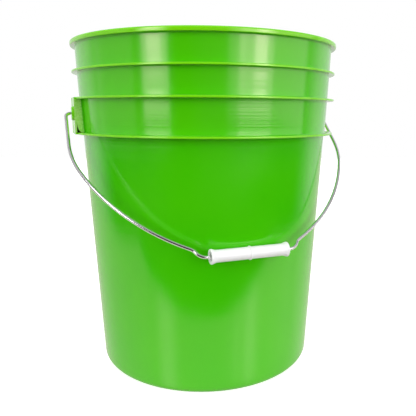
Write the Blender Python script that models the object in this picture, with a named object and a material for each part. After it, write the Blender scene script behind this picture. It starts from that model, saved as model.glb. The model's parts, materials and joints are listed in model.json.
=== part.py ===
"""Open plastic pail with a steel wire bail and a turning plastic grip.

Metres, +Z up. The origin is the centre of the foot, on the floor. The two ears
stand on the X axis, and the bail hangs at the front, towards -Y, with its grip
against the wall.
"""
import math

import bmesh
import bpy
from mathutils import Matrix

# The pail
HEIGHT = 0.368
WALL = 0.0023
FOOT_OUTER = 0.1269          # the wall's outer line carried down to the floor
BELOW_STEP = 0.1404          # outer radius of the wall just under the lowest rib
ABOVE_STEP = 0.1414          # outer radius of the wall just over it
TOP_OUTER = 0.1458           # outer radius of the wall where it meets the rim
FOOT_CORNER = 0.0078
FOOT_INNER = 0.1125
FOOT_RISE = 0.0035           # how far the underside stands clear of the floor
FOOT_SLOPE = 0.0020          # run of the slope between the foot and the raised underside
FLOOR = 0.0028
EDGE_FLOOR = 0.0030          # height of the inside over the foot, round the raised floor
INNER_CORNER = 0.0060
INNER_SLOPE = (0.0002, 0.0040)    # the raised floor's slope, inwards from the foot's inner edge
STEP_BLEND = 0.0040          # the inside eases over the wall's step, this far above and below it

RIM_OUTER = 0.1508
RIM_DEPTH = 0.0046
RIM_ROUND = 0.0016
RIM_DRAFT = 0.0003
MOUTH_CHAMFER = (0.0011, 0.0014)

RIB_THICK = 0.0021
RIB_ROUND = 0.0002
RIBS = ((0.3351, 0.1501), (0.3065, 0.1504), (0.2695, 0.1500))   # underside, outer radius
STEP_AT = RIBS[2][0]

# The ears that hold the bail
EAR_FACE = 0.1505            # outer face of an ear's plate
EAR_PLATE = 0.0013
EAR_ROOT = 0.1383            # how far in its walls reach, inside the pail's wall
EAR_HALF = 0.0220
EAR_SIDE = 0.0018
EAR_INSET = 0.0002           # keeps its edges inside the ribs' thickness
BOSS_RADIUS = 0.0075
BOSS_PROUD = 0.0022
BOSS_ROUND = 0.0012
BOSS_SUNK = 0.0005           # how far the boss starts inside the plate
NOTCH_WIDE = 0.0047          # the gap where the side walls' lower outer corners are rounded away
NOTCH_HIGH = 0.0150
RUNNING_GAP = 0.00035

# The bail
PIVOT_Z = 0.2915
HANG = math.radians(46.8)    # how far the hanging bail stands out from straight down
WIRE = 0.00185
LEG_AT = 0.1587
LEG_END = 0.0468
HOOK_LENGTH = 0.0085
HOOK_BEND = 0.0026
EAR_BEND = 0.0050
HOOK_REACH = 0.0058          # straight run through the plate and its boss
SHOULDER = (0.0920, -math.radians(23.3), 5)     # radius, turn and steps of each bend
CROWN = (0.2100, -math.radians(38.3), 9)
JOG_OUT = (0.0097, math.radians(33.9), 4)
JOG_BACK = 0.0119            # radius of the last bend, into the grip

# The grip
GRIP_HALF = 0.0410
GRIP_RADIUS = 0.0062
GRIP_BORE = 0.0045
FLANGE_RADIUS = 0.0076
FLANGE_WIDE = 0.0018
FLARE_LONG = 0.0035
RING_RADIUS = 0.0070
RING_HALF = 0.0011
RING_DRAFT = 0.0003
FLANGE_DRAFT = 0.0002
FLANGE_CHAMFER = (0.0008, 0.0010)
BORE_CHAMFER = (0.0006, 0.0010)

PAIL_SIDES = 72
GRIP_SIDES = 32
ROUND_SIDES = 24
MERGE = 1e-5
PAST = 0.002                 # how far a cutter runs past the face that it cuts


def wall_outer(z):
    """Outer radius of the pail's wall at a height: two straight tapers with a step at the lowest rib."""
    if z < STEP_AT:
        return FOOT_OUTER + (BELOW_STEP - FOOT_OUTER) * z / STEP_AT
    return ABOVE_STEP + (TOP_OUTER - ABOVE_STEP) * (z - STEP_AT) / (HEIGHT - STEP_AT)


def arc(centre, radius, start, end, steps):
    """Points (radius, height) of an arc, angles in degrees from the +radius direction."""
    turns = [math.radians(start + (end - start) * i / steps) for i in range(steps + 1)]
    return [(centre[0] + radius * math.cos(a), centre[1] + radius * math.sin(a)) for a in turns]


def rib_outline(underside, outer):
    """One rib's four corners, top to bottom."""
    top = underside + RIB_THICK
    return [
        (wall_outer(top), top),
        (outer, top - RIB_ROUND),
        (outer, underside + RIB_ROUND),
        (wall_outer(underside - MERGE), underside),
    ]


def body_outline():
    """The pail's outer surface, from the axis on top to the axis underneath."""
    rim_under = HEIGHT - RIM_DEPTH
    outline = [(0.0, HEIGHT)]
    outline += arc((RIM_OUTER - RIM_ROUND, HEIGHT - RIM_ROUND), RIM_ROUND, 90, 0, 4)
    outline += [(RIM_OUTER - RIM_DRAFT, rim_under), (wall_outer(rim_under), rim_under)]
    for underside, outer in RIBS:
        outline += rib_outline(underside, outer)
    corner_at = wall_outer(FOOT_CORNER) - FOOT_CORNER
    outline += arc((corner_at, FOOT_CORNER), FOOT_CORNER, 0, -90, 6)
    outline += [(FOOT_INNER, 0.0), (FOOT_INNER - FOOT_SLOPE, FOOT_RISE), (0.0, FOOT_RISE)]
    return outline


def hollow_outline():
    """The pail's inside, from the axis above the mouth down to the floor."""
    above = HEIGHT + PAST
    lip = wall_outer(HEIGHT) - WALL
    mouth = lip + MOUTH_CHAMFER[0]
    floor = FOOT_RISE + FLOOR
    corner_z = EDGE_FLOOR + INNER_CORNER
    corner_r = wall_outer(corner_z) - WALL - INNER_CORNER
    outline = [(0.0, above), (mouth, above), (mouth, HEIGHT), (lip, HEIGHT - MOUTH_CHAMFER[1])]
    outline += [(wall_outer(z) - WALL, z) for z in (STEP_AT + STEP_BLEND, STEP_AT - STEP_BLEND)]
    outline += arc((corner_r, corner_z), INNER_CORNER, 0, -90, 5)
    outline += [(FOOT_INNER - INNER_SLOPE[0], EDGE_FLOOR), (FOOT_INNER - INNER_SLOPE[1], floor), (0.0, floor)]
    return outline


def new_object(name, data, parent=None):
    """Link a new object, under a parent where one is given."""
    item = bpy.data.objects.new(name, data)
    bpy.context.scene.collection.objects.link(item)
    item.parent = parent
    return item


def guide(item):
    """Mark an object that only shapes another one."""
    item.hide_render = True
    item.display_type = 'WIRE'
    return item


def turned(name, outline, sides, closed=False, parent=None):
    """Turn an outline of (radius, height) points about the object's Z axis with a Screw."""
    mesh = bpy.data.meshes.new(name)
    edges = [(i, i + 1) for i in range(len(outline) - 1)]
    if closed:
        edges.append((len(outline) - 1, 0))
    mesh.from_pydata([(r, 0.0, z) for r, z in outline], edges, [])
    item = new_object(name, mesh, parent)
    screw = item.modifiers.new("turn", 'SCREW')
    screw.axis = 'Z'
    screw.angle = math.tau
    screw.steps = sides
    screw.render_steps = sides
    screw.use_merge_vertices = True
    screw.merge_threshold = MERGE
    return item


def both_sides(name, shape):
    """Copy a shape half a turn about Z, so that it stands at both ends of the X axis, as one guide."""
    copy = bmesh.ops.duplicate(shape, geom=shape.verts[:] + shape.edges[:] + shape.faces[:])
    verts = [part for part in copy["geom"] if isinstance(part, bmesh.types.BMVert)]
    bmesh.ops.rotate(shape, verts=verts, cent=(0.0, 0.0, 0.0), matrix=Matrix.Rotation(math.pi, 3, 'Z'))
    bmesh.ops.recalc_face_normals(shape, faces=shape.faces)
    mesh = bpy.data.meshes.new(name)
    shape.to_mesh(mesh)
    shape.free()
    return guide(new_object(name, mesh))


def blocks(name, low, high):
    """Two boxes, the first between two corners."""
    shape = bmesh.new()
    bmesh.ops.create_cube(shape, size=1.0)
    for vert in shape.verts:
        vert.co = [low[i] + (vert.co[i] + 0.5) * (high[i] - low[i]) for i in range(3)]
    return both_sides(name, shape)


def prisms(name, outline, half):
    """Two prisms: an outline of (x, z) points, extruded along Y to both sides of the XZ plane."""
    shape = bmesh.new()
    face = shape.faces.new([shape.verts.new((x, -half, z)) for x, z in outline])
    moved = bmesh.ops.extrude_face_region(shape, geom=[face])
    verts = [part for part in moved["geom"] if isinstance(part, bmesh.types.BMVert)]
    bmesh.ops.translate(shape, verts=verts, vec=(0.0, 2 * half, 0.0))
    return both_sides(name, shape)


def discs(name, outline):
    """Two discs: an outline of (radius, x) points, spun about the line that the bail swings on."""
    shape = bmesh.new()
    verts = [shape.verts.new((x, 0.0, PIVOT_Z + radius)) for radius, x in outline]
    edges = [shape.edges.new(pair) for pair in zip(verts, verts[1:])]
    spin = {"cent": (0.0, 0.0, PIVOT_Z), "axis": (1.0, 0.0, 0.0), "angle": math.tau, "steps": ROUND_SIDES}
    bmesh.ops.spin(shape, geom=verts + edges, use_merge=True, **spin)
    bmesh.ops.remove_doubles(shape, verts=shape.verts, dist=MERGE)
    return both_sides(name, shape)


def combine(item, tool, operation):
    """Add an exact Boolean to an object."""
    step = item.modifiers.new(operation.lower(), 'BOOLEAN')
    step.operation = operation
    step.solver = 'EXACT'
    step.object = tool


def finish(item, material):
    """Give a mesh object its material and smooth shading with sharp edges kept."""
    item.data.materials.append(material)
    item.data.shade_smooth()
    item.data.set_sharp_from_angle(angle=math.radians(35))


def surface(name, colour, roughness, metallic=0.0):
    """A Principled material of one colour."""
    material = bpy.data.materials.new(name)
    material.use_nodes = True
    shader = material.node_tree.nodes["Principled BSDF"]
    shader.inputs["Base Color"].default_value = (*colour, 1.0)
    shader.inputs["Roughness"].default_value = roughness
    shader.inputs["Metallic"].default_value = metallic
    material.diffuse_color = (*colour, 1.0)
    return material


def make_ears():
    """Both ears, hollow boxes between two ribs with a boss and notched sides."""
    low = RIBS[2][0]
    high = RIBS[1][0] + RIB_THICK
    shelf = low + RIB_THICK
    inside = EAR_FACE - EAR_PLATE
    inner = EAR_HALF - EAR_SIDE
    corners = ((EAR_ROOT, -EAR_HALF, low + EAR_INSET), (EAR_FACE, EAR_HALF, high - EAR_INSET))
    room = ((EAR_ROOT - PAST, -inner, shelf), (inside, inner, RIBS[1][0]))
    corner = [math.pi / 2 * i / 6 for i in range(7)]
    wide = [NOTCH_WIDE * (1 - math.cos(a)) for a in corner]
    curve = [(inside - reach, shelf + NOTCH_HIGH * (1 - math.sin(a))) for reach, a in zip(wide, corner)]
    boss_end = EAR_FACE + BOSS_PROUD
    dome = [(0.0, boss_end)]
    dome += arc((BOSS_RADIUS - BOSS_ROUND, boss_end - BOSS_ROUND), BOSS_ROUND, 90, 0, 3)
    dome += [(BOSS_RADIUS, inside + BOSS_SUNK), (0.0, inside + BOSS_SUNK)]

    ears = blocks("ears", *corners)
    combine(ears, blocks("ear_rooms", *room), 'DIFFERENCE')
    combine(ears, prisms("ear_notches", [(inside, shelf), *curve], EAR_HALF + PAST), 'DIFFERENCE')
    combine(ears, discs("ear_bosses", dome), 'UNION')
    return ears


def make_pail(material):
    """The moulded pail: a turned body with two ears joined on, hollowed, and bored for the wire."""
    pail = turned("pail", body_outline(), PAIL_SIDES)
    combine(pail, make_ears(), 'UNION')
    combine(pail, guide(turned("pail_hollow", hollow_outline(), PAIL_SIDES)), 'DIFFERENCE')
    radius = WIRE + RUNNING_GAP
    outer = EAR_FACE + BOSS_PROUD + PAST
    inner = EAR_FACE - EAR_PLATE - PAST
    hole = [(0.0, outer), (radius, outer), (radius, inner), (0.0, inner)]
    combine(pail, discs("ear_bores", hole), 'DIFFERENCE')
    finish(pail, material)


def bend(place, heading, radius, turn, steps):
    """Follow an arc in the bail's plane.

    The heading is 0 towards the middle and a quarter turn straight down the leg.
    Returns the points along the arc and the heading at its end.
    """
    side = math.copysign(1.0, turn)
    points = []
    for i in range(1, steps + 1):
        now = heading + turn * i / steps
        across = place[0] - side * radius * (math.sin(now) - math.sin(heading))
        down = place[1] - side * radius * (math.cos(now) - math.cos(heading))
        points.append((across, down))
    return points, heading + turn


def half_bail():
    """One half of the wire's centre line, from its hooked end to the grip, as (across, down)."""
    quarter = math.pi / 2
    hook_at = LEG_AT - EAR_BEND - HOOK_REACH
    route = [(hook_at - HOOK_BEND, HOOK_LENGTH), (hook_at - HOOK_BEND, HOOK_BEND)]
    points, heading = bend(route[-1], -quarter, HOOK_BEND, -quarter, 4)
    route += points
    route.append((LEG_AT - EAR_BEND, 0.0))
    points, heading = bend(route[-1], heading, EAR_BEND, -quarter, 5)
    route += points
    heading = quarter
    route.append((LEG_AT, LEG_END))
    for radius, turn, steps in (SHOULDER, CROWN, JOG_OUT):
        points, heading = bend(route[-1], heading, radius, turn, steps)
        route += points
    points, heading = bend(route[-1], heading, JOG_BACK, -heading, 5)
    route += points
    return route


def make_bail(pivot, material):
    """The wire bail, a round wire along its centre line, hanging straight down in its own frame."""
    half = half_bail()
    route = half + [(-across, down) for across, down in reversed(half)]
    curve = bpy.data.curves.new("bail_wire", 'CURVE')
    curve.dimensions = '3D'
    curve.resolution_u = 1
    curve.bevel_depth = WIRE
    curve.bevel_resolution = 3
    curve.use_fill_caps = True
    line = curve.splines.new('POLY')
    line.points.add(len(route) - 1)
    for point, (across, down) in zip(line.points, route):
        point.co = (across, 0.0, -down, 1.0)
    curve.materials.append(material)
    new_object("bail_wire", curve, pivot)
    return half[-1][1]


def make_grip(pivot, seat, material):
    """The plastic tube on the straight middle of the wire, flared at both ends, with a ring at its middle."""
    flare_end = GRIP_HALF - FLANGE_WIDE - FLARE_LONG
    half = [(RING_RADIUS, RING_HALF - RING_DRAFT), (GRIP_RADIUS, RING_HALF), (GRIP_RADIUS, flare_end)]
    half += [(FLANGE_RADIUS - FLANGE_DRAFT, GRIP_HALF - FLANGE_WIDE)]
    half += [(FLANGE_RADIUS, GRIP_HALF - FLANGE_CHAMFER[1]), (FLANGE_RADIUS - FLANGE_CHAMFER[0], GRIP_HALF)]
    half += [(GRIP_BORE + BORE_CHAMFER[0], GRIP_HALF), (GRIP_BORE, GRIP_HALF - BORE_CHAMFER[1])]
    outline = half[::-1] + [(radius, -reach) for radius, reach in half]
    grip = turned("grip", outline, GRIP_SIDES, closed=True, parent=pivot)
    grip.location = (0.0, 0.0, -seat)
    grip.rotation_euler = (0.0, math.pi / 2, 0.0)
    finish(grip, material)


def main():
    """Clear the scene and build the pail, its bail and its grip."""
    for item in list(bpy.data.objects):
        bpy.data.objects.remove(item, do_unlink=True)
    make_pail(surface("lime_polyethylene", (0.05, 0.47, 0.004), 0.32))
    pivot = new_object("bail_pivot", None)
    pivot.location = (0.0, 0.0, PIVOT_Z)
    pivot.rotation_euler = (-HANG, 0.0, 0.0)
    seat = make_bail(pivot, surface("zinc_plated_steel", (0.72, 0.72, 0.70), 0.22, 1.0))
    make_grip(pivot, seat, surface("white_polyethylene", (0.86, 0.86, 0.84), 0.4))


main()
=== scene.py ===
"""Looks of an open plastic pail: its moulded body, its steel bail and its tube grip, in a plain studio.

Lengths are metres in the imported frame's own axes: +Z runs up the pail, the two ears stand on the
X axis, and the bail hangs at the front, towards -Y. Each piece is made where the frame has it, and
keeps its object at the origin, unturned.
"""

import json
import logging
import math
from dataclasses import dataclass, field
from enum import Enum
from typing import Sequence

import bmesh
import bpy
import numpy as np
from mathutils import Matrix, Vector


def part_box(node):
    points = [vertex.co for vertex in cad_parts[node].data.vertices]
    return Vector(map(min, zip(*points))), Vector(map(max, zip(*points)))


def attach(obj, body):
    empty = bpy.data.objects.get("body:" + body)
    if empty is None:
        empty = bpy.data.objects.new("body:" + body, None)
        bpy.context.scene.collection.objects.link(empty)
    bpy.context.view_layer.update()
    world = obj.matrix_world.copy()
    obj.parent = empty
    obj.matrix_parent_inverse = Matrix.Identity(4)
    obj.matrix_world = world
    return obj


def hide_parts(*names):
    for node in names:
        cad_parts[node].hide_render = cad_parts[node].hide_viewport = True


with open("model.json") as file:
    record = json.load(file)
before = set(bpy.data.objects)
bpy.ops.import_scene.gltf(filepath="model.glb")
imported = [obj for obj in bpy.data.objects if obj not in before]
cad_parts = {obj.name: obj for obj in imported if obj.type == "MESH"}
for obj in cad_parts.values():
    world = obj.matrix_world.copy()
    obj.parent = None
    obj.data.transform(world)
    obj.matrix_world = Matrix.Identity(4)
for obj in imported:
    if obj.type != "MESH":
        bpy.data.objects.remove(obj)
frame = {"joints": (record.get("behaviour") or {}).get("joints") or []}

LOG = logging.getLogger("pail")
FULL_TURN = 2.0 * math.pi
QUARTER = math.pi / 2.0
HAIR = 1e-6

Corner = tuple[float, float, float]


class Axis(Enum):
    """The line that a turned shape goes round, as the world axes of (radius, radius, length)."""

    X = (1, 2, 0)
    Z = (0, 1, 2)


class Body(Enum):
    """The frame's moving bodies."""

    PAIL = "pail"
    BAIL = "bail"
    GRIP = "grip"


# ---------------------------------------------------------------- surfaces


@dataclass
class Surface:
    """Points and faces gathered from grids, on their way to one mesh."""

    points: list[np.ndarray] = field(default_factory=list)
    faces: list[list[int]] = field(default_factory=list)
    paths: list[np.ndarray] = field(default_factory=list)
    size: int = 0

    def add_points(self, points: np.ndarray, path: np.ndarray | None = None) -> int:
        """Store points and return the index of the first.

        Args:
            points: An array of shape (count, 3).
            path: For each point, how far round and how far along the piece it is, in metres.

        Returns:
            The index that the first of these points has in the whole surface.
        """
        first = self.size
        self.points.append(points)
        self.paths.append(np.zeros((len(points), 2)) if path is None else path)
        self.size += len(points)
        return first

    def add_grid(self, grid: np.ndarray, round_rows: bool = False, path: np.ndarray | None = None) -> int:
        """Join a grid's neighbours with quads. Its columns always run right round.

        Quad (i, j) takes the points (i, j), (i+1, j), (i+1, j+1) and (i, j+1), so it faces the way
        that the row direction crossed with the column direction points.

        Args:
            grid: Points of shape (rows, columns, 3).
            round_rows: Whether the last row also joins the first.
            path: As add_points has it, of shape (rows, columns, 2).

        Returns:
            The index of the grid's first point.
        """
        rows, columns = grid.shape[:2]
        flat_path = None if path is None else path.reshape(-1, 2)
        first = self.add_points(grid.reshape(-1, 3), flat_path)
        here = np.arange(rows if round_rows else rows - 1)
        i, j = np.meshgrid(here, np.arange(columns), indexing="ij")
        down, across = (i + 1) % rows, (j + 1) % columns
        corners = [i * columns + j, down * columns + j, down * columns + across, i * columns + across]
        quads = np.stack(corners, axis=-1).reshape(-1, 4) + first
        self.faces.extend(quads.tolist())
        return first

    def close(self, first: int, count: int, tip: Sequence[float], forward: bool) -> None:
        """Close a ring of points with a fan of triangles to one more point.

        Args:
            first: The index of the ring's first point.
            count: How many points the ring has.
            tip: The point in the middle.
            forward: Whether the fan runs the way that the ring's points do.
        """
        middle = self.add_points(np.array([tip], float))
        ring = np.arange(count)
        here, after = first + ring, first + (ring + 1) % count
        pair = (here, after) if forward else (after, here)
        self.faces.extend(np.stack([np.full(count, middle), *pair], axis=-1).tolist())

    def join(self, other: "Surface") -> None:
        """Take over another surface's points and faces."""
        first = self.add_points(np.concatenate(other.points), np.concatenate(other.paths))
        self.faces.extend([[first + spot for spot in face] for face in other.faces])

    def build(self, name: str, sharp: float = 40.0) -> bpy.types.Object:
        """Make the mesh object, smooth except at edges sharper than an angle.

        Args:
            name: The piece's name.
            sharp: The angle in degrees past which an edge stays crisp.

        Returns:
            The new object, at the origin.
        """
        mesh = bpy.data.meshes.new(name)
        mesh.from_pydata(np.concatenate(self.points).tolist(), [], self.faces)
        layer = mesh.uv_layers.new(name="path")
        corner = np.zeros(len(mesh.loops), np.int32)
        mesh.loops.foreach_get("vertex_index", corner)
        layer.data.foreach_set("uv", np.concatenate(self.paths)[corner].astype(np.float32).ravel())
        mesh.validate()
        mesh.shade_smooth()
        mesh.set_sharp_from_angle(angle=math.radians(sharp))
        piece = bpy.data.objects.new(name, mesh)
        bpy.context.scene.collection.objects.link(piece)
        return piece


def rounded(corners: Sequence[Corner], step: float = math.radians(12.0)) -> np.ndarray:
    """Run a line through corners, each replaced by the arc that touches both of its sides.

    An arc of radius r in a corner whose sides meet at the angle 2h starts r / tan(h) from the
    corner, and its centre lies r / sin(h) away from it, along the line that halves the angle.

    Args:
        corners: (across, up, radius) of each corner. The first and the last stay points.
        step: The largest turn between two points of an arc.

    Returns:
        Points of shape (count, 2).
    """
    spots = np.array([corner[:2] for corner in corners], float)
    line = [spots[:1]]
    for before, at, after, radius in zip(spots, spots[1:], spots[2:], [c[2] for c in corners[1:]]):
        to_before = (before - at) / np.linalg.norm(before - at)
        to_after = (after - at) / np.linalg.norm(after - at)
        half = math.acos(float(np.clip(to_before @ to_after, -1.0, 1.0))) / 2.0
        sweep = math.pi - 2.0 * half
        if radius <= 0.0 or sweep < math.radians(0.5):
            line.append(at[None])
            continue
        middle = (to_before + to_after) / np.linalg.norm(to_before + to_after)
        centre = at + middle * radius / math.sin(half)
        turn = np.linspace(-sweep / 2.0, sweep / 2.0, max(2, math.ceil(sweep / step)) + 1)[:, None]
        side = (to_after - to_before) / np.linalg.norm(to_after - to_before)
        line.append(centre + radius * (side * np.sin(turn) - middle * np.cos(turn)))
    line.append(spots[-1:])
    return np.concatenate(line)


def spaced(line: np.ndarray, longest: float) -> np.ndarray:
    """Add points along a line's straight runs, so that no run is longer than a given length."""
    runs = np.linalg.norm(np.diff(line, axis=0), axis=1)
    parts = [
        start + (end - start) * np.arange(count)[:, None] / count
        for start, end, count in zip(line, line[1:], np.maximum(1, np.ceil(runs / longest)).astype(int))
    ]
    return np.concatenate([*parts, line[-1:]])


def turned(outline: np.ndarray, sides: int, axis: Axis, at: Sequence[float] = (0.0, 0.0, 0.0)) -> np.ndarray:
    """Turn an outline of (radius, length) points about an axis.

    Point (i, j) lies radius_i away from the axis, at the angle 2 pi j / sides, and length_i along it.

    Args:
        outline: Points of shape (rows, 2).
        sides: How many points each ring has.
        axis: The world axis that the shape turns about.
        at: A point on the axis, which lengths are measured from.

    Returns:
        A grid of shape (rows, sides, 3).
    """
    turn = FULL_TURN * np.arange(sides) / sides
    grid = np.zeros((len(outline), sides, 3))
    first, second, length = axis.value
    grid[..., first] = outline[:, :1] * np.cos(turn)
    grid[..., second] = outline[:, :1] * np.sin(turn)
    grid[..., length] = outline[:, 1:]
    return grid + np.array(at)


def lathe(outline: np.ndarray, sides: int, axis: Axis, at: Sequence[float]) -> Surface:
    """Turn an outline whose ends lie on the axis into one closed surface, with a pole at each end.

    Args:
        outline: (radius, length) points, from one pole to the other.
        sides: How many points each ring has.
        axis: The world axis that the shape turns about.
        at: A point on the axis, which lengths are measured from.

    Returns:
        The closed surface.
    """
    surface = Surface()
    grid = turned(outline[1:-1], sides, axis, at)
    first = surface.add_grid(grid)
    length = axis.value[2]
    for row, spot, forward in ((0, outline[0], False), (len(grid) - 1, outline[-1], True)):
        tip = np.array(at, float)
        tip[length] += spot[1]
        surface.close(first + row * sides, sides, tip, forward)
    return surface


def slab(surface: Surface, outline: np.ndarray, middle: Sequence[float], span: tuple[float, float],
         axes: tuple[int, int, int], edge: float) -> None:
    """Add a flat plate with rounded edges: an outline carried through the plate's thickness.

    Ring k is the outline pulled in by edge (1 - sin a) and set edge (1 - cos a) in from the plate's
    face, with a from 0 on the face to a quarter turn where the rounding meets the side.

    Args:
        surface: The surface that the plate joins.
        outline: (across, up) points of a closed outline.
        middle: The (across, up) point that both faces fan out from.
        span: Where the two faces lie along the thickness.
        axes: The world axes of across, up and thickness.
        edge: The radius of the rounded edge.
    """
    ahead, behind = np.roll(outline, -1, axis=0), np.roll(outline, 1, axis=0)
    along = ahead - behind
    inward = np.stack([-along[:, 1], along[:, 0]], axis=-1) / np.linalg.norm(along, axis=1)[:, None]
    area = np.sum(outline[:, 0] * ahead[:, 1] - ahead[:, 0] * outline[:, 1])
    inward *= math.copysign(1.0, area)
    bow = np.linspace(0.0, QUARTER, 4)
    pull = np.concatenate([edge * (1 - np.sin(bow)), edge * (1 - np.sin(bow[::-1]))])
    depth = np.concatenate([span[0] + edge * (1 - np.cos(bow)), span[1] - edge * (1 - np.cos(bow[::-1]))])
    grid = np.zeros((len(pull), len(outline), 3))
    rings = outline[None] + inward[None] * pull[:, None, None]
    grid[..., axes[0]], grid[..., axes[1]] = rings[..., 0], rings[..., 1]
    grid[..., axes[2]] = depth[:, None]
    first = surface.add_grid(grid)
    for row, face, forward in ((0, span[0], False), (len(grid) - 1, span[1], True)):
        tip = np.zeros(3)
        tip[list(axes)] = (*middle, face)
        surface.close(first + row * len(outline), len(outline), tip, forward)


def face_out(piece: bpy.types.Object) -> None:
    """Turn the faces of each closed shell in a mesh outwards."""
    shape = bmesh.new()
    shape.from_mesh(piece.data)
    bmesh.ops.recalc_face_normals(shape, faces=shape.faces)
    shape.to_mesh(piece.data)
    shape.free()


def carve(piece: bpy.types.Object, tool: bpy.types.Object, operation: str, overlaps: bool = False) -> None:
    """Apply an exact Boolean with a tool that is then thrown away.

    Args:
        piece: The object that changes.
        tool: The object that it is joined with or cut by.
        operation: The Boolean's name.
        overlaps: Whether the piece's own shells overlap, and are joined too.
    """
    step = piece.modifiers.new(operation.lower(), 'BOOLEAN')
    step.operation = operation
    step.solver = 'EXACT'
    step.use_self = overlaps
    step.object = tool
    graph = bpy.context.evaluated_depsgraph_get()
    made = bpy.data.meshes.new_from_object(piece.evaluated_get(graph))
    piece.modifiers.clear()
    piece.data = made
    bpy.data.objects.remove(tool, do_unlink=True)


def settle(piece: bpy.types.Object, body: Body, node: str) -> None:
    """Let a finished piece ride on its body, and stand for its CAD node."""
    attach(piece, body.value)
    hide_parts(node)
    LOG.info("%s: %d faces, rides on %s", piece.name, len(piece.data.polygons), body.value)


# ---------------------------------------------------------------- shader groups


class Nodes:
    """A small hand for wiring shader nodes."""

    def __init__(self, tree: bpy.types.NodeTree) -> None:
        """Work in a node tree."""
        self.tree = tree

    def add(self, kind: str, inputs: dict | None = None, **settings: object) -> bpy.types.Node:
        """Add a node, set its properties, and fill its sockets.

        Args:
            kind: The node's type, as Blender names it.
            inputs: Socket name or number to a value, or to the output socket that it takes.
            settings: The node's own properties.

        Returns:
            The new node.
        """
        node = self.tree.nodes.new(kind)
        for key, value in settings.items():
            setattr(node, key, value)
        for key, value in (inputs or {}).items():
            if isinstance(value, bpy.types.NodeSocket):
                self.tree.links.new(value, node.inputs[key])
            else:
                node.inputs[key].default_value = value
        return node

    def maths(self, operation: str, *values: object) -> bpy.types.NodeSocket:
        """Add a Math node and return its output."""
        return self.add("ShaderNodeMath", dict(enumerate(values)), operation=operation).outputs[0]

    def product(self, first: bpy.types.NodeSocket, second: object) -> bpy.types.NodeSocket:
        """Multiply two vectors, axis by axis, and return the result."""
        return self.add("ShaderNodeVectorMath", {0: first, 1: second}, operation='MULTIPLY').outputs[0]

    def noise(self, vector: bpy.types.NodeSocket, scale: object, detail: float = 3.0) -> bpy.types.NodeSocket:
        """Add a Noise Texture and return its value."""
        inputs = {"Vector": vector, "Scale": scale, "Detail": detail}
        return self.add("ShaderNodeTexNoise", inputs).outputs["Fac"]

    def smooth(self, value: bpy.types.NodeSocket, low: float, high: float, to_low: float = 0.0,
               to_high: float = 1.0) -> bpy.types.NodeSocket:
        """Ease a value from one range into another and return it."""
        ends = {"Value": value, "From Min": low, "From Max": high, "To Min": to_low, "To Max": to_high}
        return self.add("ShaderNodeMapRange", ends, interpolation_type='SMOOTHSTEP').outputs["Result"]

    def mix(self, factor: bpy.types.NodeSocket, first: object, second: object) -> bpy.types.NodeSocket:
        """Mix two colours and return the result."""
        node = self.add("ShaderNodeMix", {"Factor": factor}, data_type='RGBA')
        for number, value in ((6, first), (7, second)):
            if isinstance(value, bpy.types.NodeSocket):
                self.tree.links.new(value, node.inputs[number])
            else:
                node.inputs[number].default_value = value
        return node.outputs[2]

    def placed(self, group: bpy.types.NodeTree, vector: bpy.types.NodeSocket, label: str, value: object,
               output: str) -> bpy.types.NodeSocket:
        """Place a shared group, set its one value, and return one of its outputs.

        Args:
            group: The shader group.
            vector: The coordinates that it reads.
            label: The name of the input that is set.
            value: That input's value.
            output: The name of the output.

        Returns:
            The group's output.
        """
        return self.add("ShaderNodeGroup", {"Vector": vector, label: value}, node_tree=group).outputs[output]

    def bump(self, shader: bpy.types.Node, *layers: tuple[bpy.types.NodeSocket, float]) -> None:
        """Lay bumps of (height, depth in metres) over each other, and give them to a shader."""
        normal = None
        for height, depth in layers:
            node = self.add("ShaderNodeBump", {"Height": height, "Distance": depth})
            if normal is not None:
                self.tree.links.new(normal, node.inputs["Normal"])
            normal = node.outputs["Normal"]
        self.tree.links.new(normal, shader.inputs["Normal"])


def new_group(name: str, inputs: dict[str, str], outputs: dict[str, str]) -> tuple[Nodes, dict, dict]:
    """Start a shader node group with named sockets.

    Args:
        name: The group's name.
        inputs: Socket name to socket type.
        outputs: Socket name to socket type.

    Returns:
        A hand for its nodes, the group's inputs by name, and the sockets that take its outputs.
    """
    tree = bpy.data.node_groups.new(name, "ShaderNodeTree")
    for sockets, way in ((inputs, 'INPUT'), (outputs, 'OUTPUT')):
        for label, kind in sockets.items():
            tree.interface.new_socket(name=label, in_out=way, socket_type=kind)
    start, end = tree.nodes.new("NodeGroupInput"), tree.nodes.new("NodeGroupOutput")
    taken = {label: start.outputs[label] for label in inputs}
    given = {label: end.inputs[label] for label in outputs}
    return Nodes(tree), taken, given


VECTOR, VALUE = "NodeSocketVector", "NodeSocketFloat"


def make_drawn_lines() -> bpy.types.NodeTree:
    """Fine lines that a tool or a die leaves: noise stretched out along the lines.

    The height is noise over a vector that is scaled up across the lines and down along them, in a
    fine and a coarse layer, with a slow noise that fades the lines in and out.
    """
    nodes, taken, given = new_group("drawn_lines", {"Vector": VECTOR, "Stretch": VECTOR}, {"Height": VALUE})
    scaled = nodes.product(taken["Vector"], taken["Stretch"])
    fine = nodes.noise(scaled, 1.0, 2.0)
    coarse = nodes.noise(scaled, 0.23, 1.0)
    fade = nodes.smooth(nodes.noise(taken["Vector"], 14.0, 1.0), 0.35, 0.65, 0.35, 1.0)
    lines = nodes.maths('ADD', nodes.maths('MULTIPLY', fine, 0.6), nodes.maths('MULTIPLY', coarse, 0.4))
    nodes.tree.links.new(nodes.maths('MULTIPLY', lines, fade), given["Height"])
    return nodes.tree


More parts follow.
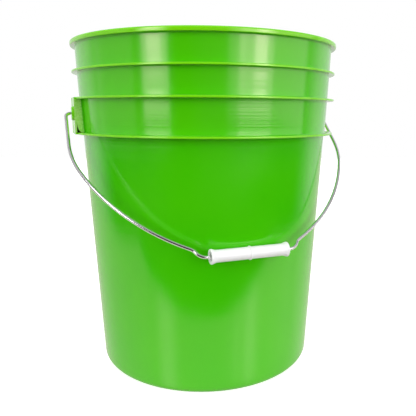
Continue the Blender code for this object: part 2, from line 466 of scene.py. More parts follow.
def make_moulded_skin() -> bpy.types.NodeTree:
    """The skin of moulded plastic: a slow ripple where it shrank, and a fine grain."""
    nodes, taken, given = new_group("moulded_skin", {"Vector": VECTOR, "Grain": VALUE}, {"Height": VALUE})
    ripple = nodes.noise(taken["Vector"], 21.0, 1.0)
    grain = nodes.noise(taken["Vector"], taken["Grain"], 2.0)
    total = nodes.maths('ADD', ripple, nodes.maths('MULTIPLY', grain, 0.06))
    nodes.tree.links.new(total, given["Height"])
    return nodes.tree


def make_handling() -> bpy.types.NodeTree:
    """Where hands and stacking have dulled a surface: soft clouds, and a few hair-fine scratches.

    The clouds are noise between two levels. A scratch is where the distance to the border of a
    stretched Voronoi cell is nearly nothing, kept only inside some of the clouds.
    """
    nodes, taken, given = new_group("handling", {"Vector": VECTOR, "Amount": VALUE}, {"Mask": VALUE})
    clouds = nodes.smooth(nodes.noise(taken["Vector"], 17.0, 4.0), 0.45, 0.72)
    cells = {"Vector": nodes.product(taken["Vector"], (31.0, 19.0, 9.0)), "Scale": 1.0}
    border = nodes.add("ShaderNodeTexVoronoi", cells, feature='DISTANCE_TO_EDGE').outputs["Distance"]
    scratch = nodes.smooth(border, 0.0, 0.004, 1.0, 0.0)
    some = nodes.smooth(nodes.noise(taken["Vector"], 29.0, 1.0), 0.55, 0.62)
    both = nodes.maths('ADD', nodes.maths('MULTIPLY', clouds, 0.5), nodes.maths('MULTIPLY', scratch, some))
    nodes.tree.links.new(nodes.maths('MULTIPLY', both, taken["Amount"]), given["Mask"])
    return nodes.tree


@dataclass
class Effects:
    """The shader groups that the finishes share, each built once."""

    lines: bpy.types.NodeTree = field(default_factory=make_drawn_lines)
    skin: bpy.types.NodeTree = field(default_factory=make_moulded_skin)
    handling: bpy.types.NodeTree = field(default_factory=make_handling)


def new_material(name: str) -> tuple[bpy.types.Material, Nodes, bpy.types.Node]:
    """Start a material with one Principled shader.

    Args:
        name: The material's name.

    Returns:
        The material, a hand for its nodes, and its shader.
    """
    material = bpy.data.materials.new(name)
    material.use_nodes = True
    return material, Nodes(material.node_tree), material.node_tree.nodes["Principled BSDF"]


def set_shader(shader: bpy.types.Node, values: dict[str, object]) -> None:
    """Set constants on a shader's own sockets."""
    for label, value in values.items():
        shader.inputs[label].default_value = value


@dataclass(frozen=True)
class PailPlastic:
    """Lime green polyethylene: glossy, turned smooth by its mould, with painted glow: a paler colour where it
    is thin and above the lowest rib stands in for light shining through the plastic.
    """

    deep: tuple[float, float, float, float] = (0.043, 0.510, 0.0003, 1.0)
    pale: tuple[float, float, float, float] = (0.057, 0.540, 0.0006, 1.0)
    # Painted glow: the paler colour that stands in for light shining through the thin ribs, rim and ear
    # walls, and through the upper bands.
    painted_glow: tuple[float, float, float, float] = (0.190, 0.700, 0.0020, 1.0)
    # The ears' end walls: partly the paler look of their etched mould texture, partly painted light shining
    # through the thin walls.
    frost_and_glow: tuple[float, float, float, float] = (0.380, 0.780, 0.1500, 1.0)
    roughness: float = 0.115
    line_stretch: tuple[float, float, float] = (0.8, 0.8, 640.0)
    line_depth: float = 0.00014
    skin_depth: float = 0.00016
    grain: float = 520.0
    etching: float = 560.0
    handling: float = 0.35
    # How far the colour turns towards the painted glow above the lowest rib.
    painted_glow_high: float = 0.16
    step_below: float = 0.010
    step_above: float = 0.002
    end_reach: float = 0.0040
    end_fade: float = 0.0008
    mask_fade: float = 0.0006
    mask_proud: tuple[float, float] = (0.0010, 0.0022)
    flange: tuple[float, float] = (0.0008, 0.0045)
    margin: float = 0.0008

    def make(self, effects: Effects, wall_at: tuple[float, float],
             ear: tuple[float, float, float]) -> bpy.types.Material:
        """Make the material.

        Args:
            effects: The shared shader groups.
            wall_at: The wall's outer radius at the foot, and how much it grows for each metre up.
            ear: Half of the ears' width, and the heights that they stand between, where the mould is rough.

        Returns:
            The material.
        """
        material, nodes, shader = new_material("lime_polyethylene")
        ear = (ear[0] + self.margin, *ear[1:])
        place = nodes.add("ShaderNodeTexCoord").outputs["Object"]
        axes = nodes.add("ShaderNodeSeparateXYZ", {0: place}).outputs
        squares = [nodes.maths('POWER', axes[number], 2.0) for number in (0, 1)]
        across = nodes.maths('SQRT', nodes.maths('ADD', *squares))
        wall = nodes.maths('MULTIPLY_ADD', axes[2], wall_at[1], wall_at[0] + self.margin)
        proud = nodes.maths('SUBTRACT', across, wall)
        # Painted glow mask: where the plastic stands out from the wall as thin ribs, rim and ear walls.
        thin = nodes.smooth(proud, *self.flange)
        # Painted glow above the lowest rib, standing in for light shining through the upper wall.
        step = ear[1] - self.step_below, ear[1] + self.step_above
        painted_lit_through = nodes.smooth(axes[2], *step, 0.0, self.painted_glow_high)
        etched = nodes.noise(place, self.etching, 5.0)
        ends = self.ear_ends(nodes, axes, proud, ear)

        swirl = nodes.mix(nodes.smooth(nodes.noise(place, 9.0, 4.0), 0.3, 0.7), self.deep, self.pale)
        # The painted glow colour replaces the base colour where either mask is high.
        colour = nodes.mix(nodes.maths('MAXIMUM', thin, painted_lit_through), swirl, self.painted_glow)
        # The etched end walls take a paler colour: partly their frosted texture, partly painted light shining
        # through.
        frost_and_glow_mask = nodes.maths('MULTIPLY', ends, nodes.smooth(etched, 0.35, 0.62, 0.30, 1.0))
        nodes.tree.links.new(nodes.mix(frost_and_glow_mask, colour, self.frost_and_glow), shader.inputs["Base Color"])

        lines = nodes.placed(effects.lines, place, "Stretch", self.line_stretch, "Height")
        skin = nodes.placed(effects.skin, place, "Grain", self.grain, "Height")
        marks = nodes.placed(effects.handling, place, "Amount", self.handling, "Mask")
        worn = nodes.maths('MULTIPLY_ADD', marks, 0.10, self.roughness)
        rough = nodes.maths('MULTIPLY_ADD', lines, 0.10, worn)
        nodes.tree.links.new(nodes.maths('MULTIPLY_ADD', ends, 0.26, rough), shader.inputs["Roughness"])

        height = nodes.maths('MULTIPLY_ADD', nodes.maths('MULTIPLY', ends, etched), 1.4, skin)
        nodes.bump(shader, (height, self.skin_depth), (lines, self.line_depth))
        set_shader(shader, {"IOR": 1.53, "Specular IOR Level": 0.90, "Specular Tint": (1.0, 0.70, 0.70, 1.0),
                            "Subsurface Weight": 0.10, "Subsurface Radius": (0.5, 1.0, 0.15),
                            "Subsurface Scale": 0.0025})
        return material

    def ear_ends(self, nodes: Nodes, axes: Sequence[bpy.types.NodeSocket], proud: bpy.types.NodeSocket,
                 ear: tuple[float, float, float]) -> bpy.types.NodeSocket:
        """Mask the ears' end walls: near the ears' full width, off the wall, and between the two ribs.

        Args:
            nodes: The material's nodes.
            axes: X, Y and Z of the place.
            proud: How far the place stands out from the wall.
            ear: Half of the ears' width, and the heights that they stand between.

        Returns:
            The mask, 1 on the end walls.
        """
        half, low, high = ear
        fade = self.mask_fade
        aside = nodes.maths('ABSOLUTE', axes[1])
        inner = nodes.smooth(aside, half - self.end_reach, half - self.end_reach + self.end_fade)
        beside = nodes.maths('MINIMUM', inner, nodes.smooth(aside, half, half + fade, 1.0, 0.0))
        between = nodes.maths('MULTIPLY', nodes.smooth(axes[2], low, low + fade),
                              nodes.smooth(axes[2], high - fade, high, 1.0, 0.0))
        off_wall = nodes.smooth(proud, *self.mask_proud)
        return nodes.maths('MULTIPLY', nodes.maths('MULTIPLY', beside, off_wall), between)


@dataclass(frozen=True)
class ZincedWire:
    """Bright drawn steel wire under a thin coat of zinc."""

    bright: tuple[float, float, float, float] = (0.95, 0.95, 0.95, 1.0)
    dull: tuple[float, float, float, float] = (0.72, 0.73, 0.74, 1.0)
    roughness: float = 0.17
    line_stretch: tuple[float, float, float] = (5200.0, 26.0, 1.0)
    line_depth: float = 0.00003

    def make(self, effects: Effects) -> bpy.types.Material:
        """Make the material from the shared shader groups. Its lines follow the wire's own path."""
        material, nodes, shader = new_material("zinced_wire")
        path = nodes.add("ShaderNodeUVMap", uv_map="path").outputs["UV"]
        place = nodes.add("ShaderNodeTexCoord").outputs["Object"]
        lines = nodes.placed(effects.lines, path, "Stretch", self.line_stretch, "Height")
        marks = nodes.placed(effects.handling, place, "Amount", 1.0, "Mask")
        spangle = nodes.smooth(nodes.noise(place, 240.0, 2.0), 0.35, 0.65)
        cloudy = nodes.maths('MULTIPLY_ADD', spangle, 0.35, nodes.maths('MULTIPLY', marks, 0.4))
        nodes.tree.links.new(nodes.mix(cloudy, self.bright, self.dull), shader.inputs["Base Color"])
        rough = nodes.maths('MULTIPLY_ADD', cloudy, 0.12, self.roughness)
        nodes.tree.links.new(rough, shader.inputs["Roughness"])
        nodes.bump(shader, (lines, self.line_depth))
        set_shader(shader, {"Metallic": 1.0})
        return material


@dataclass(frozen=True)
class GripPlastic:
    """White polyethylene, satin, with faint lines along the tube."""

    white: tuple[float, float, float, float] = (0.88, 0.88, 0.89, 1.0)
    handled: tuple[float, float, float, float] = (0.78, 0.77, 0.78, 1.0)
    roughness: float = 0.34
    line_stretch: tuple[float, float, float] = (9.0, 820.0, 820.0)
    line_depth: float = 0.00016
    skin_depth: float = 0.0001
    grain: float = 900.0
    handling: float = 0.6

    def make(self, effects: Effects) -> bpy.types.Material:
        """Make the material from the shared shader groups."""
        material, nodes, shader = new_material("white_polyethylene")
        place = nodes.add("ShaderNodeTexCoord").outputs["Object"]
        lines = nodes.placed(effects.lines, place, "Stretch", self.line_stretch, "Height")
        skin = nodes.placed(effects.skin, place, "Grain", self.grain, "Height")
        marks = nodes.placed(effects.handling, place, "Amount", self.handling, "Mask")
        dulled = nodes.maths('MAXIMUM', marks, nodes.smooth(lines, 0.30, 0.60, 0.0, 0.75))
        nodes.tree.links.new(nodes.mix(dulled, self.white, self.handled), shader.inputs["Base Color"])
        rough = nodes.maths('MULTIPLY_ADD', marks, 0.12, self.roughness)
        nodes.tree.links.new(rough, shader.inputs["Roughness"])
        nodes.bump(shader, (skin, self.skin_depth), (lines, self.line_depth))
        set_shader(shader, {"IOR": 1.52, "Subsurface Weight": 0.15, "Subsurface Radius": (1.0, 0.95, 0.9),
                            "Subsurface Scale": 0.0015})
        return material


# ---------------------------------------------------------------- the pail


@dataclass(frozen=True)
class Rib:
    """One flange round the pail."""

    under: float
    outer: float
    thick: float = 0.0021
    edge: float = 0.0006
    root: float = 0.0009


@dataclass
class Ear:
    """A hollow box between the two lower ribs, with a boss that the wire passes through."""

    face: float = 0.1505
    plate: float = 0.0013
    root: float = 0.1383
    half: float = 0.0220
    side: float = 0.0018
    corner: float = 0.0010
    edge: float = 0.0003
    inset: float = 0.0002
    boss: float = 0.0075
    proud: float = 0.0022
    boss_round: float = 0.0012
    notch_wide: float = 0.0047
    notch_high: float = 0.0150
    gap: float = 0.00035
    hub: float = 0.0040
    sunk_low: float = 0.0006
    sunk_high: float = 0.0014
    overlap: float = 0.0005
    past: float = 0.0020
    longest: float = 0.0030
    sides: int = 48

    def plate_outline(self, low: float, high: float) -> np.ndarray:
        """The plate's outline in (y, z): a rectangle with rounded corners.

        Args:
            low: Height of the lower edge.
            high: Height of the upper edge.

        Returns:
            Points of a closed outline, without its first point again.
        """
        half, middle = self.half, (low + high) / 2.0
        spots = [(half, middle), (half, high), (-half, high), (-half, low), (half, low), (half, middle)]
        line = rounded([(across, up, self.corner) for across, up in spots])
        return spaced(line, self.longest)[:-1]

    def side_outline(self, low: float, high: float, notch_wide: float) -> np.ndarray:
        """An end wall's outline in (x, z), with its lower outer corner rounded away.

        The corner's curve lies at w (1 - cos a) in from the plate and h (1 - sin a) up from the shelf,
        for a from a quarter turn to 0.

        Args:
            low: Height of the lower edge, inside the rib below.
            high: Height of the upper edge, inside the rib above.
            notch_wide: How far the rounding reaches in from the plate.

        Returns:
            Points of a closed outline, without its first point again.
        """
        outer = self.face - self.plate + self.edge
        turn = np.linspace(QUARTER, 0.0, 16)
        shelf = low + Rib.thick
        across = self.face - self.plate - notch_wide * (1.0 - np.cos(turn))
        notch = np.stack([across, shelf + self.notch_high * (1.0 - np.sin(turn))], axis=-1)
        foot = [(self.root, low), (notch[0, 0], low)]
        head = [(outer, notch[-1, 1]), (outer, high), (self.root, high)]
        return spaced(np.array([*foot, *notch, *head, foot[0]]), self.longest)[:-1]

    def build(self, side: float, ribs: tuple[Rib, Rib], pivot: float) -> Surface:
        """Make one ear as shells that overlap, ready to be joined.

        The end walls are made square to Y, and then y is scaled by |x| / face, which turns them and the
        plate's ends so that they run straight out from the pail's axis.

        Args:
            side: 1 for the ear at +X, -1 for the one at -X.
            ribs: The rib below the ear and the one above it.
            pivot: Height of the bail's axis.

        Returns:
            The ear's surface.
        """
        low, high = ribs[0].under + self.inset, ribs[1].under + ribs[1].thick - self.inset
        surface = Surface()
        span = (side * (self.face - self.plate), side * self.face)
        slab(surface, self.plate_outline(low, high), (0.0, pivot), span, (1, 2, 0), self.edge)
        middle = (side * (self.root + self.hub), pivot)
        bottom, top = ribs[0].under + self.sunk_low, ribs[1].under + self.sunk_high
        for start, notch in ((-self.half, self.notch_wide), (self.half - self.side, 0.0)):
            wall = self.side_outline(bottom, top, notch) * (side, 1.0)
            slab(surface, wall, middle, (start, start + self.side), (0, 2, 1), self.edge)
        for points in surface.points:
            points[:, 1] *= np.abs(points[:, 0]) / self.face
        inside, end = self.face - self.plate + self.overlap, self.face + self.proud
        dome = rounded([(0.0, inside, 0.0), (self.boss, inside, 0.0), (self.boss, end, self.boss_round),
                        (0.0, end, 0.0)]) * (1.0, side)
        surface.join(lathe(dome, self.sides, Axis.X, (0.0, 0.0, pivot)))
        return surface


@dataclass
class Pail:
    """The moulded pail: one turned wall with its rim, ribs and foot, and an ear at each side."""

    wall: float = 0.0023
    foot_outer: float = 0.1269
    below_step: float = 0.1404
    above_step: float = 0.1414
    top_outer: float = 0.1458
    foot_corner: float = 0.0078
    foot_inner: float = 0.1125
    foot_rise: float = 0.0035
    floor: float = 0.0028
    inner_corner: float = 0.0060
    dish: float = 0.0300
    dish_slope: float = 0.0008
    dish_depth: float = 0.0003
    dish_round: float = 0.0100
    gutter: float = 0.0030
    gutter_slope: float = 0.0045
    gutter_round: float = 0.0020
    step_ease: float = 0.0040
    step_round: float = 0.0120
    mouth_depth: float = 0.0016
    mouth_flare: float = 0.0013
    mouth_blend: float = 0.0040
    mouth_round: float = 0.0010
    rim_depth: float = 0.0046
    rim_round: float = 0.0017
    rim_draft: float = 0.0003
    rim_edge: float = 0.0007
    rim_root: float = 0.0010
    foot_slope: float = 0.0020
    foot_edge: float = 0.0012
    small_round: float = 0.0010
    mark_outer: float = 0.0520
    mark_inner: float = 0.0476
    mark_depth: float = 0.0004
    gate: float = 0.0046
    gate_slope: float = 0.0008
    gate_depth: float = 0.0009
    gate_edge: float = 0.0006
    ribs: tuple[Rib, Rib, Rib] = (Rib(0.3351, 0.1501), Rib(0.3065, 0.1504), Rib(0.2695, 0.1500))
    ear: Ear = field(default_factory=Ear)
    sides: int = 256
    longest: float = 0.0075
    waver: float = 0.00016
    waver_rise: float = 0.15
    waver_fall: float = 0.05
    waver_rim: float = 0.15
    sharp: float = 25.0

    def __post_init__(self) -> None:
        """Take the height, the rim's radius and the bail's axis from the frame."""
        low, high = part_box("pail")
        self.height = high.z - low.z
        self.rim_outer = high.y
        swing = next(joint for joint in frame["joints"] if joint["name"] == "bail_swing")
        self.pivot = swing["pos_m"][2]

    def outside(self, up: float) -> float:
        """Outer radius of the wall at a height: two straight tapers, with a step at the lowest rib."""
        step = self.ribs[2].under
        if up < step:
            return self.foot_outer + (self.below_step - self.foot_outer) * up / step
        return self.above_step + (self.top_outer - self.above_step) * (up - step) / (self.height - step)

    def inner_line(self) -> list[Corner]:
        """Corners of the inside, from the middle of the floor up to the mouth."""
        step = self.ribs[2].under
        level = self.foot_rise + self.floor
        raised = level + self.dish_depth
        corners = [(0.0, level, 0.0), (self.dish, level, self.dish_round)]
        corners += [(self.dish + self.dish_slope, raised, self.dish_round)]
        corners += [(self.foot_inner - self.gutter_slope, raised, self.gutter_round)]
        corners += [(self.foot_inner, self.gutter, self.gutter_round)]
        corners += [(self.outside(self.gutter) - self.wall, self.gutter, self.inner_corner)]
        for up in (step - self.step_ease, step + self.step_ease):
            corners += [(self.outside(up) - self.wall, up, self.step_round)]
        lip = self.outside(self.height) - self.wall
        corners += [(lip, self.height - self.mouth_depth, self.mouth_blend)]
        return corners + [(lip + self.mouth_flare, self.height, self.mouth_round)]

    def outer_line(self) -> list[Corner]:
        """Corners of the outside, from the rim's top down, round the foot, to the middle underneath."""
        bead, small = self.height - self.rim_depth, self.small_round
        corners = [(self.rim_outer, self.height, self.rim_round)]
        corners += [(self.rim_outer - self.rim_draft, bead, self.rim_edge)]
        corners += [(self.outside(bead), bead, self.rim_root)]
        for rib in self.ribs:
            top = rib.under + rib.thick
            corners += [(self.outside(top), top, rib.root), (rib.outer, top, rib.edge)]
            corners += [(rib.outer, rib.under, rib.edge)]
            corners += [(self.outside(rib.under - HAIR), rib.under, rib.root)]
        under = self.foot_rise
        corners += [(self.outside(0.0), 0.0, self.foot_corner), (self.foot_inner, 0.0, small)]
        corners += [(self.foot_inner - self.foot_slope, under, self.foot_edge)]
        corners += [(self.mark_outer, under, small)]
        corners += [(self.mark_outer - self.mark_depth, under - self.mark_depth, small)]
        corners += [(self.mark_inner + self.mark_depth, under - self.mark_depth, small)]
        corners += [(self.mark_inner, under, small), (self.gate, under, self.gate_slope)]
        low = under - self.gate_depth
        return corners + [(self.gate - self.gate_slope, low, self.gate_edge), (0.0, low, 0.0)]

    def build_body(self) -> bpy.types.Object:
        """Turn the outline, and let the cooled wall waver a little.

        The radius at the angle a and the height z grows by w (cos(2a + 0.6) + cos(5a + 9z) / 2 +
        cos(11a - 14z) / 4), times a share that rises from 0 at the foot and falls towards the rim.
        """
        outline = spaced(rounded(self.inner_line() + self.outer_line()), self.longest)
        surface = lathe(outline, self.sides, Axis.Z, (0.0, 0.0, 0.0))
        grid = surface.points[0]
        turn, up = np.arctan2(grid[:, 1], grid[:, 0]), grid[:, 2]
        wave = np.cos(2 * turn + 0.6) + np.cos(5 * turn + 9 * up) / 2 + np.cos(11 * turn - 14 * up) / 4
        share = np.clip(up / self.waver_rise, 0.0, 1.0)
        share = share * np.clip((self.height - up) / self.waver_fall, self.waver_rim, 1.0)
        grow = 1.0 + self.waver * wave * share / np.hypot(grid[:, 0], grid[:, 1])
        grid[:, :2] *= grow[:, None]
        body = surface.build("pail_body")
        face_out(body)
        return body

    def build(self, material: bpy.types.Material, bore: float) -> bpy.types.Object:
        """Join the ears on, bore them for the wire, and dress the moulding.

        Args:
            material: The pail's finish.
            bore: Radius of the hole in each boss.

        Returns:
            The finished pail.
        """
        ear = self.ear
        inner, outer = ear.face - ear.plate - ear.past, ear.face + ear.proud + ear.past
        both, rods = Surface(), Surface()
        for side in (1.0, -1.0):
            both.join(ear.build(side, (self.ribs[2], self.ribs[1]), self.pivot))
            rod = np.array([(0.0, inner), (bore, inner), (bore, outer), (0.0, outer)]) * (1.0, side)
            rods.join(lathe(rod, ear.sides, Axis.X, (0.0, 0.0, self.pivot)))
        ears, drills = both.build("ears"), rods.build("drills")
        face_out(ears)
        face_out(drills)
        carve(ears, drills, 'DIFFERENCE', overlaps=True)
        body = self.build_body()
        carve(body, ears, 'UNION')
        body.data.materials.clear()
        body.data.materials.append(material)
        body.data.shade_smooth()
        body.data.set_sharp_from_angle(angle=math.radians(self.sharp))
        settle(body, Body.PAIL, "pail")
        return body


# ---------------------------------------------------------------- the bail


@dataclass(frozen=True)
class Bend:
    """One bend of the wire: its radius and how far it turns."""

    radius: float
    turn: float


@dataclass
class Bail:
    """The wire from ear to ear: hooked ends, straight legs, a wide bow, and a jog beside the grip."""

    wire: float = 0.00185
    leg_end: float = 0.0468
    hook_length: float = 0.0085
    hook_bend: float = 0.0026
    ear_bend: float = 0.0050
    hook_reach: float = 0.0058
    shoulder: Bend = Bend(0.0920, -math.radians(23.3))
    crown: Bend = Bend(0.2100, -math.radians(38.3))
    jog_out: Bend = Bend(0.0097, math.radians(33.9))
    jog_back: float = 0.0119
    end_round: float = 0.0004
    longest: float = 0.0040
    step: float = math.radians(3.0)
    sides: int = 40

    def __post_init__(self) -> None:
        """Take the pivot, the way the bail hangs and the width between its legs from the frame."""
        joints = {joint["name"]: joint for joint in frame["joints"]}
        self.pivot = Vector(joints["bail_swing"]["pos_m"])
        self.seat = Vector(joints["grip_spin"]["pos_m"])
        reach = self.seat - self.pivot
        self.hang = math.atan2(-reach.y, -reach.z)
        self.leg_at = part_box("bail_wire")[1].x - self.wire

    def bend(self, line: list[np.ndarray], heading: float, bend: Bend) -> float:
        """Carry the line round a bend.

        From the heading h, with the bend's side s, a point at the turn t lies at
        -s r (sin(h + t) - sin h) across and -s r (cos(h + t) - cos h) down from the bend's start.

        Args:
            line: The runs of points so far, which the bend's points join.
            heading: The way that the wire runs: 0 towards the middle, a quarter turn straight down.
            bend: The bend.

        Returns:
            The heading after the bend.
        """
        side = math.copysign(1.0, bend.turn)
        count = max(3, math.ceil(abs(bend.turn) / self.step))
        now = heading + bend.turn * np.arange(1, count + 1) / count
        across = np.sin(now) - math.sin(heading)
        down = np.cos(now) - math.cos(heading)
        line.append(line[-1][-1] - side * bend.radius * np.stack([across, down], axis=-1))
        return heading + bend.turn

    def half_line(self) -> np.ndarray:
        """Half of the wire's centre line, from its hooked end to the middle, as (across, down)."""
        bore_at = self.leg_at - self.ear_bend
        hook_at = bore_at - self.hook_reach - self.hook_bend
        line = [np.array([(hook_at, self.hook_length), (hook_at, self.hook_bend)])]
        heading = self.bend(line, -QUARTER, Bend(self.hook_bend, -QUARTER))
        line.append(np.array([(bore_at, 0.0)]))
        self.bend(line, heading, Bend(self.ear_bend, -QUARTER))
        line.append(np.array([(self.leg_at, self.leg_end)]))
        heading = QUARTER
        for bend in (self.shoulder, self.crown, self.jog_out):
            heading = self.bend(line, heading, bend)
        self.bend(line, heading, Bend(self.jog_back, -heading))
        return np.concatenate(line)

    def centre_line(self) -> np.ndarray:
        """The whole centre line in the frame: the half and its mirror image, hung from the pivot."""
        half = self.half_line()
        flat = spaced(np.concatenate([half, half[::-1] * (-1.0, 1.0)]), self.longest)
        out = np.array([0.0, -math.sin(self.hang), -math.cos(self.hang)])
        return np.array(self.pivot) + flat[:, :1] * (1.0, 0.0, 0.0) + flat[:, 1:] * out

    def build(self, material: bpy.types.Material) -> bpy.types.Object:
        """Sweep a circle along the centre line.

        Each ring is the circle r (n cos a + b sin a) about its point, where b is the normal of the
        plane that the bail lies in, and n is square to b and to the wire.

        Args:
            material: The wire's finish.

        Returns:
            The finished bail.
        """
        line = self.centre_line()
        along = np.gradient(line, axis=0)
        along /= np.linalg.norm(along, axis=1)[:, None]
        plane = np.array([0.0, math.cos(self.hang), -math.sin(self.hang)])
        normal = np.cross(plane, along)
        tips = line[:1] - along[:1] * self.end_round, line[-1:] + along[-1:] * self.end_round
        radius = np.full(len(line) + 2, self.wire)
        radius[[0, -1]] -= self.end_round
        line = np.concatenate([tips[0], line, tips[1]])
        normal = np.concatenate([normal[:1], normal, normal[-1:]])
        turn = FULL_TURN * np.arange(self.sides) / self.sides
        ring = normal[:, None] * np.cos(turn)[:, None] + plane * np.sin(turn)[:, None]
        grid = line[:, None] + radius[:, None, None] * ring
        gone = np.concatenate([[0.0], np.cumsum(np.linalg.norm(np.diff(line, axis=0), axis=1))])
        path = np.stack(np.broadcast_arrays(self.wire * turn[None], gone[:, None]), axis=-1)
        surface = Surface()
        first = surface.add_grid(grid, path=path)
        surface.close(first, self.sides, line[0], False)
        surface.close(first + (len(line) - 1) * self.sides, self.sides, line[-1], True)
        bail = surface.build("bail")
        face_out(bail)
        bail.data.materials.append(material)
        settle(bail, Body.BAIL, "bail_wire")
        return bail


# ---------------------------------------------------------------- the grip


@dataclass
class Grip:
    """The tube that the hand holds: a bore, two flared ends, and a ring round its middle."""

    radius: float = 0.0062
    bore: float = 0.0045
    flange: float = 0.0076
    flange_wide: float = 0.0018
    flange_draft: float = 0.0001
    flange_root: float = 0.0012
    flange_edge: float = 0.0008
    flare: float = 0.0035
    flare_round: float = 0.0060
    mouth_wide: float = 0.0006
    mouth_deep: float = 0.0009
    mouth_edge: float = 0.0003
    mouth_root: float = 0.0006
    ring: float = 0.0071
    ring_half: float = 0.0009
    ring_slope: tuple[float, float] = (0.0003, 0.0001)
    ring_edge: float = 0.0005
    ring_root: float = 0.0004
    seam: float = 0.00011
    seam_at: float = math.radians(62.0)
    seam_wide: float = 0.035
    longest: float = 0.0015
    sides: int = 96

    def __post_init__(self) -> None:
        """Take the length and the middle from the frame."""
        low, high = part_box("grip")
        self.half = (high.x - low.x) / 2.0
        self.middle = (low + high) / 2.0

    def outline(self) -> np.ndarray:
        """The tube's closed section as (radius, length), outside from one end to the other, then the bore."""
        neck, face = self.half - self.flange_wide - self.flare, self.half
        inward, outward = self.ring_slope
        half = [(self.ring, 0.0, 0.0), (self.ring, self.ring_half - inward, self.ring_edge)]
        half += [(self.radius, self.ring_half + outward, self.ring_root)]
        half += [(self.radius, neck, self.flare_round)]
        half += [(self.flange - self.flange_draft, face - self.flange_wide, self.flange_root)]
        half += [(self.flange, face, self.flange_edge)]
        half += [(self.bore + self.mouth_wide, face, self.mouth_edge)]
        half += [(self.bore, face - self.mouth_deep, self.mouth_root), (self.bore, 0.0, 0.0)]
        line = spaced(rounded(half), self.longest)
        back = line[::-1][1:-1] * (1.0, -1.0)
        return np.concatenate([line, back])

    def build(self, material: bpy.types.Material) -> bpy.types.Object:
        """Turn the section, and raise the thin seam where the mould's halves met.

        A point outside the bore at the angle a moves out by s exp(-((a - a0) / w)^2), for a0 at
        both sides of the tube.

        Args:
            material: The grip's finish.

        Returns:
            The finished grip.
        """
        outline = self.outline()
        grid = turned(outline, self.sides, Axis.X)
        turn = FULL_TURN * np.arange(self.sides) / self.sides
        away = np.abs((turn - self.seam_at + QUARTER) % math.pi - QUARTER)
        seam = self.seam * np.exp(-(away / self.seam_wide) ** 2)
        outside = (outline[:, 0] > (self.bore + self.radius) / 2.0)[:, None]
        grid[..., 1:] *= (1.0 + seam * outside / outline[:, :1])[..., None]
        surface = Surface()
        surface.add_grid(grid + np.array(self.middle), round_rows=True)
        grip = surface.build("grip_tube")
        face_out(grip)
        grip.data.materials.append(material)
        settle(grip, Body.GRIP, "grip")
        return grip


# ---------------------------------------------------------------- the studio


@dataclass(frozen=True)
class Softbox:
    """A tall soft light that stands round the pail."""

    name: str
    azimuth: float
    distance: float
    low: float
    high: float
    width: float
    radiance: float
    mirrored: bool = True

    def out(self) -> Vector:
        """The level direction from the pail's axis to the light."""
        return Vector((math.sin(self.azimuth), -math.cos(self.azimuth), 0.0))

    def build(self) -> None:
        """Make the light, upright and facing the pail's axis at its own height."""
        data = bpy.data.lights.new(self.name, 'AREA')
        data.shape = 'RECTANGLE'
        data.size, data.size_y = self.width, self.high - self.low
        data.energy = self.radiance * math.pi * data.size * data.size_y
        light = bpy.data.objects.new(self.name, data)
        bpy.context.scene.collection.objects.link(light)
        out = self.out()
        light.location = out * self.distance + Vector((0.0, 0.0, (self.low + self.high) / 2.0))
        light.rotation_euler = out.to_track_quat('Z', 'Y').to_euler()
        light.visible_camera = False
        light.visible_glossy = self.mirrored


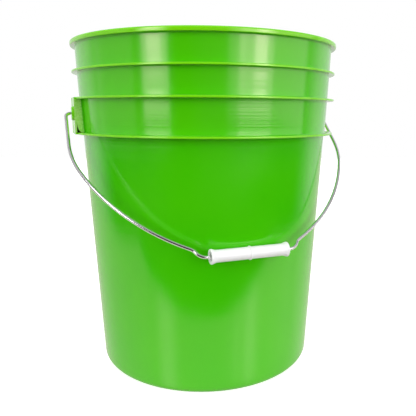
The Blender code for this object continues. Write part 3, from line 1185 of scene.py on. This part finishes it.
@dataclass
class Studio:
    """A white table top in front of a white backdrop, tall soft lights at the front, and the camera."""

    stand_off: float = 0.5989
    eye: float = 0.2932
    azimuth: float = math.radians(17.668)
    pan: float = math.radians(3.352)
    pitch: float = math.radians(11.007)
    roll: float = 0.0061
    sensor: float = 36.0
    lens: float = 42.36
    shift: float = -0.0618
    table_front: float = 0.29
    table_side: float = 0.52
    table_back: float = 2.6
    table_spread: float = 4.0
    table_seen: float = 0.62
    table_glow: float = 0.72
    table_soak: float = 0.17
    table_polish: float = 0.14
    table_blur: float = 0.15
    backdrop: float = 0.88
    ceiling: float = 1.30
    ceiling_hidden: float = 0.85
    gloom: float = 0.005
    boxes: tuple[Softbox, ...] = (
        Softbox("left_box", math.radians(-58.0), 1.6, 0.33, 1.50, 0.34, 2.8),
        Softbox("left_glow", math.radians(-58.0), 1.7, 0.12, 1.50, 0.66, 2.3),
        Softbox("right_box", math.radians(28.0), 1.6, 0.28, 1.20, 0.30, 3.6),
        Softbox("right_glow", math.radians(25.0), 1.7, 0.12, 1.20, 0.90, 2.5),
        Softbox("right_haze", math.radians(8.0), 1.8, 0.12, 1.20, 0.40, 0.9),
        Softbox("right_fill", math.radians(59.0), 1.8, 0.10, 1.00, 1.20, 1.1),
        Softbox("left_fill", math.radians(-98.0), 1.7, 0.05, 1.75, 1.30, 0.42),
        Softbox("left_bounce", math.radians(-80.0), 2.0, -0.10, 1.60, 1.60, 1.25, mirrored=False),
        Softbox("right_bounce", math.radians(70.0), 2.0, -0.10, 1.60, 1.60, 0.5, mirrored=False),
        Softbox("front_bounce", math.radians(0.0), 2.2, -0.30, 1.20, 2.20, 1.12, mirrored=False),
    )

    def out(self) -> Vector:
        """The level direction from the pail's axis to the camera."""
        return Vector((-math.sin(self.azimuth), -math.cos(self.azimuth), 0.0))

    def build_table(self) -> None:
        """Make the table top: a white rectangle, square to the camera.

        The camera sees it matt and plain. Light that bounces off the pail meets a warmer, dimmer and
        slightly glossy table.
        """
        out = self.out()
        side = Vector((-out.y, out.x, 0.0))
        near = self.table_front, self.table_side
        far = -self.table_back, self.table_side * self.table_spread
        reach = ((*near, -1.0), (*near, 1.0), (*far, 1.0), (*far, -1.0))
        corners = [out * ahead + side * wide * way for ahead, wide, way in reach]
        mesh = bpy.data.meshes.new("table")
        mesh.from_pydata([tuple(corner) for corner in corners], [], [(0, 1, 2, 3)])
        material, nodes, shader = new_material("white_card")
        set_shader(shader, {"Base Color": (0.90, 0.90, 0.90, 1.0), "Roughness": 0.9,
                            "Emission Color": (1.0, 1.0, 1.0, 1.0), "Emission Strength": self.table_seen})
        rays = nodes.add("ShaderNodeLightPath").outputs
        level = nodes.maths('MULTIPLY_ADD', rays["Is Diffuse Ray"], -self.table_soak, self.table_glow)
        felt = nodes.add("ShaderNodeEmission", {"Color": (1.0, 0.92, 0.80, 1.0), "Strength": level})
        gloss = {"Color": (*[self.table_polish] * 3, 1.0), "Roughness": self.table_blur}
        polish = nodes.add("ShaderNodeBsdfGlossy", gloss)
        bounced = nodes.add("ShaderNodeAddShader", {0: felt.outputs[0], 1: polish.outputs[0]})
        both = nodes.add("ShaderNodeMixShader", {0: rays["Is Camera Ray"], 1: bounced.outputs[0],
                                                 2: shader.outputs[0]})
        nodes.tree.links.new(both.outputs[0], nodes.tree.nodes["Material Output"].inputs["Surface"])
        mesh.materials.append(material)
        table = bpy.data.objects.new("table", mesh)
        bpy.context.scene.collection.objects.link(table)

    def build_world(self) -> None:
        """Light the room: a white backdrop that fades out towards the front, and a bright ceiling."""
        world = bpy.data.worlds.new("room")
        bpy.context.scene.world = world
        world.use_nodes = True
        nodes = Nodes(world.node_tree)
        world.node_tree.nodes.clear()
        way = nodes.add("ShaderNodeTexCoord").outputs["Generated"]
        behind = nodes.add("ShaderNodeVectorMath", {0: way, 1: tuple(-self.out())}, operation='DOT_PRODUCT')
        above = nodes.add("ShaderNodeSeparateXYZ", {0: way}).outputs[2]
        back = nodes.smooth(behind.outputs["Value"], 0.05, 0.55, 0.0, self.backdrop)
        rays = nodes.add("ShaderNodeLightPath").outputs
        strength = nodes.maths('MULTIPLY_ADD', rays["Is Glossy Ray"], -self.ceiling_hidden, self.ceiling)
        top = nodes.maths('MULTIPLY', nodes.smooth(above, 0.35, 0.9), strength)
        level = nodes.maths('ADD', nodes.maths('MAXIMUM', back, top), self.gloom)
        lit = nodes.add("ShaderNodeBackground", {"Color": (1.0, 1.0, 1.0, 1.0), "Strength": level})
        seen = nodes.add("ShaderNodeBackground", {"Color": (1.0, 1.0, 1.0, 1.0), "Strength": 1.0})
        either = {0: rays["Is Camera Ray"], 1: lit.outputs[0], 2: seen.outputs[0]}
        both = nodes.add("ShaderNodeMixShader", either)
        nodes.add("ShaderNodeOutputWorld", {"Surface": both.outputs[0]})

    def build_camera(self) -> None:
        """Set the camera up from its stand-off, height, pan, pitch and roll."""
        data = bpy.data.cameras.new("camera")
        data.sensor_width = self.sensor
        data.lens = self.lens
        data.shift_x = self.shift
        camera = bpy.data.objects.new("camera", data)
        bpy.context.scene.collection.objects.link(camera)
        aim = self.azimuth + self.pan
        level = Vector((math.sin(aim), math.cos(aim), 0.0))
        ahead = level * math.cos(self.pitch) - Vector((0.0, 0.0, math.sin(self.pitch)))
        right = ahead.cross(Vector((0.0, 0.0, 1.0))).normalized()
        above = right.cross(ahead)
        tilted = right * math.cos(self.roll) + above * math.sin(self.roll)
        above = above * math.cos(self.roll) - right * math.sin(self.roll)
        turn = Matrix((tilted, above, -ahead)).transposed().to_4x4()
        place = self.out() * self.stand_off + Vector((0.0, 0.0, self.eye))
        camera.matrix_world = Matrix.Translation(place) @ turn
        bpy.context.scene.camera = camera

    def build(self) -> None:
        """Build the table, the room, the lights and the camera."""
        bpy.context.scene.view_settings.view_transform = 'Standard'
        self.build_table()
        self.build_world()
        for box in self.boxes:
            box.build()
        self.build_camera()


def main() -> None:
    """Build the studio and the three pieces."""
    logging.basicConfig(level=logging.INFO, format="%(name)s: %(message)s")
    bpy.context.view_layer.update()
    Studio().build()
    effects = Effects()
    pail, bail, grip = Pail(), Bail(), Grip()
    slope = (pail.top_outer - pail.foot_outer) / pail.height
    lower, upper = pail.ribs[2], pail.ribs[1]
    rough_mould = (pail.ear.half, lower.under + lower.thick, upper.under)
    plastic = PailPlastic().make(effects, (pail.foot_outer, slope), rough_mould)
    pail.build(plastic, bail.wire + pail.ear.gap)
    bail.build(ZincedWire().make(effects))
    grip.build(GripPlastic().make(effects))


if __name__ == "__main__":
    main()
